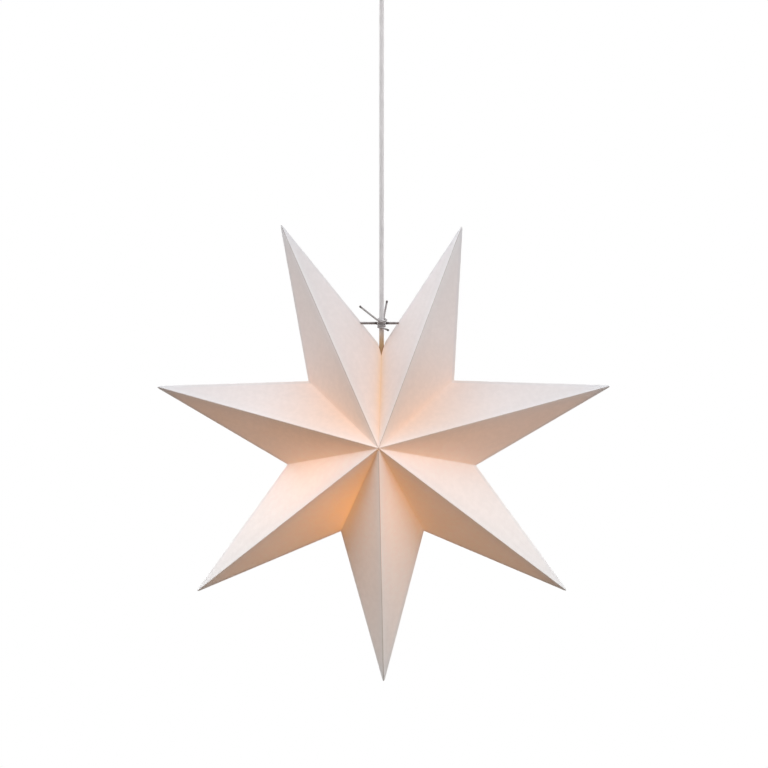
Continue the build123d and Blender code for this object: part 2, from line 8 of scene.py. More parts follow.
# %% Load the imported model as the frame
import json
from math import cos, pi, radians, sin, tau

import bpy
import numpy as np
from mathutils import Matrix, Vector


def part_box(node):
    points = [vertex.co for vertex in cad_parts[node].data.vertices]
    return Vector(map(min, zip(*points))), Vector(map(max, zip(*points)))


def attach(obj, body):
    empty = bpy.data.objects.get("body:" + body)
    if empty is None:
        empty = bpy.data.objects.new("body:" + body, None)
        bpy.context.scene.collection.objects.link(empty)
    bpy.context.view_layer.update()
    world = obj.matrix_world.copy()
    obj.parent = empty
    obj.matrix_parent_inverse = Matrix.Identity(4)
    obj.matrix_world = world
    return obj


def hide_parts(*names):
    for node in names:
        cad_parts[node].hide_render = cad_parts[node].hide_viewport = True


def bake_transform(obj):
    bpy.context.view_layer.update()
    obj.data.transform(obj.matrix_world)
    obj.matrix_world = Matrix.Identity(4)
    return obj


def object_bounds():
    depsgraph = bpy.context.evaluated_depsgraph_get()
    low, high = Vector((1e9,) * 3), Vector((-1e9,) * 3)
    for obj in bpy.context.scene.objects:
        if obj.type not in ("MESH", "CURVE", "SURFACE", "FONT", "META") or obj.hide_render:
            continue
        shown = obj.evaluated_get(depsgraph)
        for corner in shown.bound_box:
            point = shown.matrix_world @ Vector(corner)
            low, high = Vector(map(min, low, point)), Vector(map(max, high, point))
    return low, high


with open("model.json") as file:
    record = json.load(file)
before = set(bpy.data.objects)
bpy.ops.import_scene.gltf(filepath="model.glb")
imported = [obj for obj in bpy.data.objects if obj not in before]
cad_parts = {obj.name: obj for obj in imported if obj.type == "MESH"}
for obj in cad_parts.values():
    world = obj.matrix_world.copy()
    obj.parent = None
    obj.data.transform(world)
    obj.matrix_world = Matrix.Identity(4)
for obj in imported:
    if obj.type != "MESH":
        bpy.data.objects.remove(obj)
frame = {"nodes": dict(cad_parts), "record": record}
nodes = frame["nodes"]
cad_box = [list(corner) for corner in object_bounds()]
MM = 0.001

# %% [markdown]
# ## Where the paper folds
# Each point has four flat sheets: right and left, at the front and at the back. The CAD sheets stop a little short of
# their creases, so that they can turn. The creases themselves are where the sheets' outer planes cross. The corners
# could be typed in again, but then they would go stale when the CAD changes. Here each corner is solved from the
# planes that share it, so the paper always meets exactly.

# %% Planes of the sheets
POINTS = 7
FACES = ("front", "back")
SIDES = ("right", "left")
SHEETS = [(point, face, side) for point in range(1, POINTS + 1) for face in FACES for side in SIDES]
lamp_middle = np.array(sum(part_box("bulb_globe"), Vector())) / 2


def node_of(point, face, side):
    """Name of a sheet's CAD node."""
    return f"point_{point}_{face}_{side}"


def outer_plane(node):
    """Normal and offset of a sheet's outer side: its largest triangle that looks away from the bulb."""
    faces = nodes[node].data.polygons
    normals, middles, areas = np.empty(3 * len(faces)), np.empty(3 * len(faces)), np.empty(len(faces))
    faces.foreach_get("normal", normals)
    faces.foreach_get("center", middles)
    faces.foreach_get("area", areas)
    normals, middles = normals.reshape(-1, 3), middles.reshape(-1, 3)
    outward = np.sum(normals * (middles - lamp_middle), axis=1) > 0
    largest = np.argmax(areas * outward)
    return normals[largest], normals[largest] @ middles[largest]


planes = {sheet: outer_plane(node_of(*sheet)) for sheet in SHEETS}
print(len(planes), "sheets round the bulb at", np.round(lamp_middle, 3).tolist())


# %% Corners where the planes meet
def meet(sheets):
    """The point nearest to all the planes of these sheets, by least squares."""
    normals, offsets = zip(*(planes[sheet] for sheet in sheets))
    return np.linalg.lstsq(np.array(normals), np.array(offsets), rcond=None)[0]


def next_point(point, side):
    """The point on the other side of the valley beside this sheet."""
    return (point - 1 + (1 if side == "left" else -1)) % POINTS + 1


def other(word, pair):
    """The second word of a pair for the first, and the first for the second."""
    return pair[1 - pair.index(word)]


def round_notch(point, side):
    """The four sheets that meet at a notch: two of this point and two of the next."""
    beside = ((point, side), (next_point(point, side), other(side, SIDES)))
    return [(p, face, s) for face in FACES for p, s in beside]


tips = {point: meet([s for s in SHEETS if s[0] == point]) for point in range(1, POINTS + 1)}
centres = {face: meet([s for s in SHEETS if s[1] == face]) for face in FACES}
notches = {(point, side): meet(round_notch(point, side)) for point in tips for side in SIDES}
star_middle = (centres["front"] + centres["back"]) / 2
tip_spans = [round(float(np.linalg.norm(tip - star_middle)) / MM, 1) for tip in tips.values()]
print("tips are", tip_spans, "mm from the star's middle")

# %% [markdown]
# ## The camera
# The photograph was taken from about three metres, almost square on and slightly from above and from the right. The
# lens and the aim were fitted to the star's fourteen corners. A long lens keeps the points nearly undistorted.

# %% Camera
CAMERA_DISTANCE = 3.0
CAMERA_AZIMUTH = radians(2.45)
CAMERA_ELEVATION = radians(3.46)
CAMERA_LENS, SENSOR_WIDTH = 107.58, 36          # mm
CAMERA_AIM = Vector((0.0032, 0, 0.0786))        # from the star's middle

camera = bpy.data.objects.new("camera", bpy.data.cameras.new("camera"))
bpy.context.scene.collection.objects.link(camera)
camera.data.sensor_width, camera.data.lens = SENSOR_WIDTH, CAMERA_LENS
back_way = Vector((sin(CAMERA_AZIMUTH) * cos(CAMERA_ELEVATION), -cos(CAMERA_AZIMUTH) * cos(CAMERA_ELEVATION),
                   sin(CAMERA_ELEVATION)))
camera.location = Vector(star_middle) + CAMERA_DISTANCE * back_way
camera.rotation_euler = (Vector(star_middle) + CAMERA_AIM - camera.location).to_track_quat("-Z", "Y").to_euler()
bpy.context.scene.camera = camera
print("camera at", [round(c, 3) for c in camera.location])

# %% [markdown]
# ## Finishes as expressions
# A finish is a graph of shader nodes. Placing such nodes by hand is slow to read back, so one small class wraps a
# socket: sums and products of sockets add their Math nodes, and one method adds any other node.

# %% A socket that can be used in expressions
FACTOR, FIRST, SECOND, MIXED = 0, 6, 7, 2       # a Mix node's sockets where it mixes colours


class Wire:
    """One output of a finish's node graph."""

    def __init__(self, tree, socket):
        self.tree, self.socket = tree, socket

    def node(self, kind, settings, sockets, output=0):
        """Adds a node: first its settings, then its inputs' values or links. Gives one of its outputs."""
        made = self.tree.nodes.new(kind)
        for name, value in settings.items():
            setattr(made, name, value)
        for name, value in sockets.items():
            if isinstance(value, Wire):
                self.tree.links.new(value.socket, made.inputs[name])
            else:
                made.inputs[name].default_value = value
        return Wire(self.tree, made.outputs[output])

    def maths(self, operation, first, second):
        """A Math node on two values."""
        return self.node("ShaderNodeMath", {"operation": operation}, {0: first, 1: second})

    def __add__(self, term):
        return self.maths("ADD", self, term)

    def __sub__(self, term):
        return self.maths("SUBTRACT", self, term)

    def __rsub__(self, term):
        return self.maths("SUBTRACT", term, self)

    def __mul__(self, term):
        return self.maths("MULTIPLY", self, term)

    __radd__, __rmul__ = __add__, __mul__

    def between(self, low, high):
        """0 up to low, 1 from high, and a smooth rise between them."""
        return self.node("ShaderNodeMapRange", {"interpolation_type": "SMOOTHSTEP"},
                         {"Value": self, "From Min": low, "From Max": high})

    def mix(self, first, second):
        """A colour that goes from the first to the second as this value goes from 0 to 1."""
        return self.node("ShaderNodeMix", {"data_type": "RGBA"}, {FACTOR: self, FIRST: first, SECOND: second}, MIXED)

    def tinted(self, colour):
        """Another colour, multiplied by this one."""
        return self.node("ShaderNodeMix", {"data_type": "RGBA", "blend_type": "MULTIPLY"},
                         {FACTOR: 1.0, FIRST: colour, SECOND: self}, MIXED)

    def times(self, colour):
        """A colour scaled by this value."""
        return self.node("ShaderNodeVectorMath", {"operation": "SCALE"}, {0: colour, "Scale": self})

    def noise(self, scale, detail):
        """Cloudy noise about 0.5 at this place, with scale cells to the metre."""
        return self.node("ShaderNodeTexNoise", {}, {"Vector": self, "Scale": scale, "Detail": detail})

    def stretched(self, x, y, z):
        """This place with each axis scaled, so that a pattern becomes long one way."""
        return self.node("ShaderNodeVectorMath", {"operation": "MULTIPLY"}, {0: self, 1: (x, y, z)})

    def distance(self, middle):
        """How far this place is from the middle."""
        return self.node("ShaderNodeVectorMath", {"operation": "DISTANCE"}, {0: self, 1: middle}, "Value")

    def height(self):
        """The upward part of this place."""
        return self.node("ShaderNodeSeparateXYZ", {}, {0: self}, "Z")

    def chart(self):
        """The place on the mesh's own UV map."""
        return self.node("ShaderNodeUVMap", {"uv_map": "chart"}, {})

    def attribute(self, name):
        """A value that the mesh holds for each of its points."""
        return self.node("ShaderNodeAttribute", {"attribute_name": name}, {}, "Fac")

    def bump(self, distance, strength):
        """A normal tilted by this value as a height."""
        return self.node("ShaderNodeBump", {}, {"Height": self, "Distance": distance, "Strength": strength})


print("finishes are written as expressions on", Wire.__name__)


# %% A material and its links
def new_finish(name, fixed):
    """A material with one Principled shader. fixed holds the sockets that are the same all over."""
    material = bpy.data.materials.new(name)
    material.use_nodes = True
    tree = material.node_tree
    shader = tree.nodes["Principled BSDF"]
    for socket, value in fixed.items():
        shader.inputs[socket].default_value = value
    place = Wire(tree, tree.nodes.new("ShaderNodeTexCoord").outputs["Object"])
    return material, shader, place


def feed(shader, **wires):
    """Links what varies over the surface to the shader: Base_Color=wire and so on."""
    for name, wire in wires.items():
        wire.tree.links.new(wire.socket, shader.inputs[name.replace("_", " ")])


print("materials are ready")

# %% [markdown]
# ## Meshes from whole arrays
# Every new piece is a grid: a function of two parameters gives all its points at once, and the grid's cells are its
# faces. That is quicker than adding vertices one by one, and the formula stays readable.

# %% Grids and pieces
FOLD_SHARP = radians(40)          # a sharper bend than this shades as an edge


def grid_quads(rows, columns):
    """The cells of a grid whose points are counted row by row."""
    n = np.arange(rows * columns).reshape(rows, columns)
    return np.stack([n[:-1, :-1], n[1:, :-1], n[1:, 1:], n[:-1, 1:]], axis=-1).reshape(-1, 4)


def add_piece(name, points, faces, finish, values=None, chart=None, sharp=FOLD_SHARP):
    """A mesh object at the origin. values are point attributes, chart is a UV place for each point."""
    mesh = bpy.data.meshes.new(name)
    mesh.from_pydata(points.tolist(), [], faces)
    mesh.shade_smooth()
    mesh.set_sharp_from_angle(angle=sharp)
    for key, value in (values or {}).items():
        mesh.attributes.new(key, "FLOAT", "POINT").data.foreach_set("value", value.astype(np.float32))
    if chart is not None:
        corners = np.empty(len(mesh.loops), dtype=np.int32)
        mesh.loops.foreach_get("vertex_index", corners)
        mesh.uv_layers.new(name="chart").data.foreach_set("uv", chart[corners].astype(np.float32).ravel())
    mesh.materials.append(finish)
    piece = bpy.data.objects.new(name, mesh)
    bpy.context.scene.collection.objects.link(piece)
    return piece


print("helpers for grids are ready")

# %% [markdown]
# ## The paper
# The star is stiff white paper of about 0.4 mm. In room light it is a cool white. The bulb shines through it, so it
# glows peach to orange where it is close to the bulb and stays grey at the tips. Long fibres and the clouded look of
# the pulp show in the glow. A thin dark line lies in each ridge, partly dirt and partly painted shade, and a band
# beside it is lighter as a painted highlight. The upper points are darkened as painted shade. The paper above the
# bulb is yellow from the heat and darker there as painted shade, and the valley of the seam has a warm painted shade.
# Along the glued side edges the paper is double, so less light comes through. A translucent shader would need a real
# lamp inside, and an exported model has none, so the light that comes through is worked out on the mesh and given to
# the finish as an attribute.

# %% Paper colours and widths
PLAIN = (1, 1, 1, 1)
PAPER_WHITE = (0.858, 0.876, 0.90, 1)
PAPER_PULP = (0.820, 0.832, 0.852, 1)
# painted highlight: the lighter band beside each ridge
PAPER_RIDGE_LIGHT = (0.893, 0.91, 0.93, 1)
# the dark line in each ridge: partly dirt, partly painted shade
PAPER_LINE = (0.52, 0.49, 0.48, 1)
# painted shade: this colour darkens the upper points, which get less light
PAPER_TOP_SHADE = (0.80, 0.80, 0.82, 1)             # this and the next two multiply the white
# heat yellowing, and painted shade near the bulb's top, where the sheets' cores get less light
PAPER_HEAT_SHADE = (0.90, 0.79, 0.71, 1)
# painted warm shade in the valley of the seam
SEAM_SHADE = (0.96, 0.87, 0.71, 1)
GLOW_WEAK = (1.0, 0.34, 0.02, 1)
GLOW_STRONG = (1.0, 0.32, 0.01, 1)
PULP_CELLS, FIBRE_CELLS = 150, 1100             # to the metre
STREAK_CELLS = (420, 9, 1)                      # to the metre, across and along a sheet
PULP_SHARE, FIBRE_SHARE = 0.6, 0.4
# the line of dirt and painted shade in the ridge
CREASE_FROM, CREASE_WIDTH, CREASE_SHADE_AND_DIRT = 0.3, 0.7, 0.8          # mm from the ridge
# the band of painted highlight beside each ridge
RIDGE_LIGHT_FROM, RIDGE_LIGHT_WIDTH, RIDGE_LIGHT_SHARE = 1.0, 9.0, 0.7         # mm from the ridge
LAP_FROM, LAP_WIDTH, LAP_LOSS = 4.4, 5.0, 0.3                   # mm from the side edge
# heights over which the painted shade of the upper points comes in
TOP_SHADE_LOW, TOP_SHADE_HIGH = -0.80, -0.56              # metres of height
# where the heat yellowing and its painted shade come in, by height and by distance from the star's middle
HEAT_SHADE_LOW, HEAT_SHADE_HIGH = -0.68, -0.62              # metres of height
HEAT_SHADE_NEAR, HEAT_SHADE_FAR = 0.05, 0.18                # metres from the middle of the star
CLOUD_BASE, CLOUD_PULP, CLOUD_STREAK = 0.82, 0.22, 0.14
PAPER_RELIEF = 0.18 * MM
print("paper is", PAPER_WHITE[:3], "and its clouds", PAPER_PULP[:3])


# %% Paper finish
def paper_finish():
    """White in clouds of pulp and fibre, with the painted highlight bands and the lines of painted shade and dirt at
    the ridges, times the painted shade of the upper points, the heat yellowing with its painted shade, and the painted
    warm shade of the seam. The glow is the mesh's own value times the clouds, less where the paper is double."""
    paper, shader, place = new_finish("paper", {"Emission Strength": 1.0, "Specular IOR Level": 0.25})
    pulp, fibre = place.noise(PULP_CELLS, 4), place.noise(FIBRE_CELLS, 3)
    streak = place.chart().stretched(*STREAK_CELLS).noise(1, 3)
    height, to_ridge, glow = place.height(), place.attribute("ridge"), place.attribute("glow")
    white = (pulp.between(0.35, 0.7) * PULP_SHARE + fibre * FIBRE_SHARE).mix(PAPER_PULP, PAPER_WHITE)
    # painted highlight in a band beside the ridge
    ridge_lit = 1 - to_ridge.between(RIDGE_LIGHT_FROM, RIDGE_LIGHT_WIDTH)
    # dirt and painted shade in the ridge itself
    crease = 1 - to_ridge.between(CREASE_FROM, CREASE_WIDTH)
    creased = (crease * CREASE_SHADE_AND_DIRT).mix((ridge_lit * RIDGE_LIGHT_SHARE).mix(white, PAPER_RIDGE_LIGHT), PAPER_LINE)
    # painted shade over the upper points
    top_shaded = height.between(TOP_SHADE_LOW, TOP_SHADE_HIGH).mix(PLAIN, PAPER_TOP_SHADE).tinted(creased)
    # heat yellowing and painted shade near the middle of the upper half: this mask and the next
    close = 1 - place.distance(tuple(star_middle)).between(HEAT_SHADE_NEAR, HEAT_SHADE_FAR)
    heat = height.between(HEAT_SHADE_LOW, HEAT_SHADE_HIGH) * close * place.attribute("scorch")
    heat_shaded = heat.mix(PLAIN, PAPER_HEAT_SHADE).tinted(top_shaded)
    # painted warm shade in the valley of the seam
    seam_shaded = place.attribute("seam").mix(PLAIN, SEAM_SHADE).tinted(heat_shaded)
    lap = 1 - place.attribute("side").between(LAP_FROM, LAP_WIDTH)
    clouded = CLOUD_BASE + CLOUD_PULP * pulp + CLOUD_STREAK * streak
    tint = glow.between(0.05, 0.6).mix(GLOW_WEAK, GLOW_STRONG)
    feed(shader, Base_Color=seam_shaded, Roughness=0.72 + 0.2 * fibre,
         Emission_Color=(glow * clouded * (1 - LAP_LOSS * lap)).times(tint),
         Normal=(fibre * 0.5 + streak * 0.9).bump(PAPER_RELIEF, 0.5))
    return paper


paper = paper_finish()
print("made the finish", paper.name)

# %% [markdown]
# ## A folded sheet
# Between its creases a sheet is a triangle from the tip to the centre and to the notch. A flat face with knife edges
# would look like cut card. Real paper is slightly bowed, and turns over the crease in a radius of about a millimetre.
# The sheet is a fan of rays from its tip: one parameter goes along a ray, the other from the ridge to the side edge.
# Close to a crease each sheet bends to the line halfway between it and its neighbour, so that the two still meet when
# the star folds. The same grid, moved in by the paper's thickness, is the inside.

# %% Sheet measures
PAPER_THICKNESS = 0.4 * MM
CREASE_REACH = 1.7 * MM           # how far from the crease the paper starts to turn
CREASE_DROP = 0.32 * MM           # how much the crease is rounded off
TIP_BLUNT = 5.0 * MM              # what a tip loses to its glued, blunt end
TIP_NOSE = 2.5 * MM               # length of the round nose there
NOSE_LEAST = 0.001                # keeps the nose's first row from closing in one place
CENTRE_HOLE = 0.1 * MM            # what the sheets leave free where all of them meet
SEAM_SIDES = ((1, "right"), (POINTS, "left"))
SEAM_CUT_VALLEY = {"front": 10.5 * MM, "back": 8.0 * MM}
SEAM_CUT_SIDE = 9.5 * MM
STRING_HOLE = 2.5 * MM            # radius
TIE_HEIGHT = -0.502
FINE_STEPS = np.array([0, 0.002, 0.004, 0.007, 0.011, 0.017, 0.026, 0.04])      # beside the ridge and the side edge
MIDDLE_STEPS = 22
NOSE_STEPS = np.array([0, 0.0007, 0.002, 0.0045, 0.008, 0.012])
VALLEY_STEPS = np.array([0.009, 0.006, 0.004, 0.0025, 0.00125, 0])
RAY_FROM, RAY_TO, RAY_STEPS = 0.02, 0.985, 42
HOLE_STEPS = 13
TINY = 1e-6
grid_size = len(NOSE_STEPS) + RAY_STEPS + len(VALLEY_STEPS), 2 * len(FINE_STEPS) - 2 + MIDDLE_STEPS
print("a sheet is a grid of", grid_size[0], "by", grid_size[1], "points")


# %% Sheet surface
def length(v):
    """Lengths of vectors."""
    return np.linalg.norm(v, axis=-1)


def from_line(points, start, end):
    """Distance of points from the line through start and end."""
    return length(np.cross(points - start, (end - start) / length(end - start)))


def fading(distance, reach):
    """1 at no distance, falling evenly to 0 at the reach."""
    return np.clip(1 - distance / reach, 0, 1)


def point_axis(tip):
    """Unit vector from a tip to the star's middle."""
    return (star_middle - tip) / length(star_middle - tip)


def seam_end(v, valley, side):
    """How far along each ray the paper goes where the seam corner is cut off straight: the cut runs from the share
    valley of the valley edge to the share side of the side edge, and the ray at v crosses it there."""
    t = np.clip(v - valley, 0, None) / np.maximum((side - valley) + v * (1 - side), TINY)
    return 1 - np.clip(t, 0, 1) * (1 - side)


def sheet_grid(tip, centre, notch, seam_cut, hole):
    """Flat places of a sheet: tip + u ((centre - tip) + v (notch - centre)), u along the rays and v across them. The
    rays start square to the point's axis at its blunt end. They stop at the valley, just before the star's centre
    and at the cut seam corner. A seam's sheet has more rows beside its string hole."""
    ridge, valley, side = length(tip - centre), length(notch - centre), length(tip - notch)
    fine, middle = FINE_STEPS, np.linspace(FINE_STEPS[-1], 1 - FINE_STEPS[-1], MIDDLE_STEPS)
    v = np.concatenate([fine[:-1], middle, 1 - fine[-2::-1]])
    end = 1 - CENTRE_HOLE / ridge * fading(v * valley, CENTRE_HOLE)
    axis = point_axis(tip)
    start = TIP_BLUNT / ((centre - tip) @ axis + v * ((notch - centre) @ axis))
    w = np.concatenate([NOSE_STEPS, np.linspace(RAY_FROM, RAY_TO, RAY_STEPS), 1 - VALLEY_STEPS])
    if seam_cut:
        kept = seam_end(v, 1 - seam_cut / valley, 1 - SEAM_CUT_SIDE / side)
        end = np.minimum(end, kept)
        around = hole + STRING_HOLE / side * np.cos(np.linspace(0, pi, HOLE_STEPS))
        w = np.sort(np.concatenate([w, (around - start[-1]) / (kept[-1] - start[-1])]))
    u, v = start + w[:, None] * (end - start), np.broadcast_to(v, (len(w), len(v)))
    return u, v, tip + u[..., None] * ((centre - tip) + v[..., None] * (notch - centre))


print("a sheet's rays start", TIP_BLUNT / MM, "mm inside its tip")

# %% [markdown]
# ## Light through the paper
# The bulb acts as a soft source near the star's middle, a little to the lower left. What reaches the paper falls with
# the square of the distance and with the slant, and the holder above shades the top. The white inside sends light
# round once more, which fills the body of the star but hardly reaches the tips. It is strongest in the valleys, where
# two sheets pass it to and fro, and sheets that look down get a share more. Less comes through at the ridges and
# through the layers glued in a tip. Ray tracing could find this too, but only with a lamp that the export leaves out.

# %% Glow
GLOW_SOURCE = star_middle + np.array([-57, 0, -53]) * MM
GLOW_REACH = 0.1                  # metres at which a square-on sheet gets a glow of 1
GLOW_SOFT = 0.10                  # metres by which the source is soft
GLOW_DIRECT = 0.33
GLOW_BOUNCE = 0.165
GLOW_VALLEY, VALLEY_REACH = 0.125, 16 * MM
GLOW_DOWN = 0.18
HOLDER_SHADE, HOLDER_FROM, HOLDER_SPAN = 0.4, 0.45, 0.5         # shares of the way from level to straight up
TIP_REACH = 0.40                  # metres from the middle that the bounce reaches
RIDGE_SHADE, RIDGE_REACH = 0.38, 8 * MM
TIP_SHADE, TIP_LAYERS = 0.8, 60 * MM


def smooth(t):
    """0 up to 0, 1 from 1, and 3 t^2 - 2 t^3 between them."""
    t = np.clip(t, 0, 1)
    return t * t * (3 - 2 * t)


def glow_on(points, normal, to_ridge, to_valley, to_tip):
    """Direct light, the cosine over the distance squared, times the holder's shade, plus the bounce, which falls off
    towards the tips and is stronger by a power of e for each reach nearer to the valley, plus a share for sheets that
    look down. Less comes through at the ridge, by the same kind of power, and through the layers glued in the tip."""
    ray = points - GLOW_SOURCE
    far = length(ray)
    slant = np.abs(ray @ normal) / far
    shade = 1 - HOLDER_SHADE * smooth((ray[..., 2] / far - HOLDER_FROM) / HOLDER_SPAN)
    direct = slant * shade * GLOW_REACH ** 2 / (far ** 2 + GLOW_SOFT ** 2)
    bounce = GLOW_BOUNCE + GLOW_VALLEY * np.exp(-to_valley / VALLEY_REACH)
    inside = (GLOW_DIRECT * direct + bounce * fading(length(points - star_middle), TIP_REACH)
              + GLOW_DOWN * np.clip(-normal[2], 0, 1))
    through_ridge = 1 - RIDGE_SHADE * np.exp(-to_ridge / RIDGE_REACH)
    return inside * through_ridge * (1 - TIP_SHADE * fading(to_tip, TIP_LAYERS) ** 2)


towards_front = np.array([0, -1.0, 0])
print("glow at the front's centre", round(float(glow_on(centres["front"], towards_front, 0.0, 0.0, 1.0)), 2))

# %% [markdown]
# ## All 28 sheets
# Each sheet takes the place of its CAD sheet and rides on that sheet's body. Its bow is a bubble that is highest in
# the middle and nothing at the creases. The sheets differ a little from each other, as hand-folded paper does. A
# Solidify modifier would open the creases on the inside, so both sides are worked out, with a rim between them.

# %% Bow, string hole and closed shell
SHEET_BOW = 0.7 * MM
SHEET_WAVE = 0.10 * MM
BUBBLE_SCALE = 27                 # makes the top of the bubble 1
WAVES_ACROSS, WAVES_ALONG = 3, 0.6
POINT_PHASE, SIDE_PHASE, FACE_PHASE = 2.4, 1.7, 0.8
HOLE_FADE = 4                     # radii from the side edge over which the hole's pull fades


def bowed(u, v, point, face, side):
    """Height over the flat sheet: the bow, which differs from sheet to sheet as a sine, and a long wave, both times
    the bubble (1 - u) u^2 v (1 - v), scaled to 1 at its top."""
    bubble = BUBBLE_SCALE * (1 - u) * u * u * v * (1 - v)
    bow = SHEET_BOW * sin(POINT_PHASE * point + SIDE_PHASE * SIDES.index(side) + FACE_PHASE * FACES.index(face))
    wave = SHEET_WAVE * np.sin(tau * (WAVES_ACROSS * v + WAVES_ALONG * u) + point)
    return (bow + wave) * bubble


def punched(flat, along, to_side, inward):
    """Half a round hole in the side edge: the places move in by the root of r^2 - s^2, s being the way along the edge
    from the hole's middle, and by less further from the edge."""
    bite = np.sqrt(np.clip(STRING_HOLE ** 2 - along ** 2, 0, None)) * fading(to_side, HOLE_FADE * STRING_HOLE)
    return flat + bite[..., None] * inward


def rim_loop(rows, columns):
    """Numbers of the grid's border points, once round."""
    n = np.arange(rows * columns).reshape(rows, columns)
    return np.concatenate([n[0, :-1], n[:-1, -1], n[-1, :0:-1], n[:0:-1, 0]])


def shell_faces(rows, columns, outside, normal):
    """Faces of a shell: the grid outside, the grid inside turned round, and a rim that closes it. All of them are
    turned over if the first one doesn't look along the normal."""
    quads, rim, inside = grid_quads(rows, columns), rim_loop(rows, columns), rows * columns
    following = np.roll(rim, -1)
    edge = np.stack([rim, following, following + inside, rim + inside], axis=-1)
    faces = np.concatenate([quads, quads[:, ::-1] + inside, edge[:, ::-1]])
    first = outside[quads[0]]
    turned = np.cross(first[1] - first[0], first[3] - first[0]) @ normal < 0
    return (faces[:, ::-1] if turned else faces).tolist()


print("a sheet bows by up to", SHEET_BOW / MM, "mm")

# %% Turn at the creases and values for the finish
SEAM_REACH, SEAM_FADE = 5 * MM, 70 * MM
# share of the heat yellowing and its painted shade on the seam's sheets
SEAM_HEAT_SHADE = 0.35                  # the slit of the seam lets most of the heat out
INSIDE_GLOW = 1.1


def rounded(distance, reach, least):
    """A round end: the root of 1 - (1 - s)^2, s being the share of the reach that the distance has covered."""
    return np.sqrt(np.clip(1 - fading(distance, reach) ** 2, least, 1))


def middle_way(normal, neighbour):
    """Unit vector halfway between two sheets' normals."""
    way = normal + neighbour
    return way / length(way)


def creased(shape, normal, creases):
    """The shape with a smooth turn at each crease towards its middle way, inwards for -1 and outwards for 1, and the
    way to the inside: along the normal in the open and along the middle way at a crease."""
    inner = np.broadcast_to(normal, shape.shape)
    for distance, neighbour, turn in creases:
        way = middle_way(normal, planes[neighbour][0])
        near = fading(distance, CREASE_REACH)[..., None]
        shape = shape + turn * CREASE_DROP * near ** 2 * way
        inner = inner + near * (way / (way @ normal) - normal)
    return shape, inner


def sheet_values(glow, stain, scorch, to_ridge, to_side):
    """What the finish reads at each point, outside and then inside. Distances are in mm."""
    # the seam value is painted warm shade in the seam valley; the share after it is how much heat yellowing and
    # painted shade a sheet gets
    return {"glow": np.concatenate([glow, INSIDE_GLOW * glow]), "seam": np.tile(stain, 2),
            "scorch": np.full(2 * len(glow), scorch),
            "ridge": np.tile(to_ridge.ravel() / MM, 2), "side": np.tile(to_side.ravel() / MM, 2)}


print("creases turn within", CREASE_REACH / MM, "mm")


# %% Build the sheets
def folded_sheet(point, face, side):
    """The flat grid, plus the bow, plus the turn at each crease: inwards on ridges and sides, outwards in valleys. The
    inside is moved in by the thickness. At the tip all of it draws in to the axis as a round nose. The seam's painted
    warm shade falls by a power of e for each reach from the valley and fades out towards the centre."""
    sheet, seam = (point, face, side), (point, side) in SEAM_SIDES
    tip, centre, notch, normal = tips[point], centres[face], notches[point, side], planes[sheet][0]
    hole = (tip[2] - TIE_HEIGHT) / (tip[2] - notch[2])
    u, v, flat = sheet_grid(tip, centre, notch, SEAM_CUT_VALLEY[face] if seam else 0, hole)
    to_ridge, to_side = from_line(flat, tip, centre), from_line(flat, tip, notch)
    to_valley = from_line(flat, centre, notch)
    creases = [(to_ridge, (point, face, other(side, SIDES)), -1), (to_side, (point, other(face, FACES), side), -1)]
    if seam:
        inward = np.cross(normal, notch - tip)
        inward *= np.sign(inward @ (centre - tip)) / length(inward)
        flat = punched(flat, (u - hole) * length(tip - notch), to_side, inward)
    else:
        creases.append((to_valley, (next_point(point, side), face, other(side, SIDES)), 1))
    shape, inner = creased(flat + bowed(u, v, *sheet)[..., None] * normal, normal, creases)
    along_axis = ((flat - tip) @ point_axis(tip))[..., None]
    on_axis = tip + along_axis * point_axis(tip)
    nose = rounded(along_axis - TIP_BLUNT, TIP_NOSE, NOSE_LEAST)
    outside = (on_axis + nose * (shape - on_axis)).reshape(-1, 3)
    inside = (on_axis + nose * (shape - PAPER_THICKNESS * inner - on_axis)).reshape(-1, 3)
    glow = glow_on(flat, normal, to_ridge, to_valley, length(flat - tip)).ravel()
    # painted warm shade in the seam valley, carried as the seam value
    stain = seam * np.exp(-to_valley / SEAM_REACH) * (1 - fading(length(flat - centre), SEAM_FADE))
    values = sheet_values(glow, stain.ravel(), SEAM_HEAT_SHADE if seam else 1.0, to_ridge, to_side)
    chart = np.stack([to_ridge, length(flat - tip)], axis=-1).reshape(-1, 2)
    piece = add_piece(f"paper_{point}_{face}_{side}", np.concatenate([outside, inside]),
                      shell_faces(*u.shape, outside, normal), paper, values, np.tile(chart, (2, 1)))
    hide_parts(node_of(*sheet))
    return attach(piece, node_of(*sheet))


star = [folded_sheet(*sheet) for sheet in SHEETS]
print(len(star), "sheets of", len(star[0].data.polygons), "faces each")

# %% [markdown]
# ## Cords follow a route
# A cord is a profile carried along a line. The line is a NURBS spline with a few control points, and Blender works out
# the places along it. A bevelled curve would do for a plain cord. A mesh is better here, because the string shows its
# twisted strands.

# %% Routes and tubes
LOBE_DEPTH = 0.18                 # of the radius, between two strands
END_LEAST = 0.06                  # keeps a round end from closing in one place
BEAD_REACH = 2                    # radii


def route(points):
    """Places along a smooth NURBS spline with these control points."""
    curve = bpy.data.curves.new("route", "CURVE")
    curve.dimensions = "3D"
    spline = curve.splines.new("NURBS")
    spline.points.add(len(points) - 1)
    spline.points.foreach_set("co", np.column_stack([points, np.ones(len(points))]).ravel())
    spline.order_u, spline.use_endpoint_u, spline.resolution_u = 3, True, 12
    carrier = bpy.data.objects.new("route", curve)
    line = bpy.data.meshes.new_from_object(carrier)
    places = np.empty(3 * len(line.vertices))
    line.vertices.foreach_get("co", places)
    bpy.data.objects.remove(carrier)
    bpy.data.curves.remove(curve)
    bpy.data.meshes.remove(line)
    return places.reshape(-1, 3)


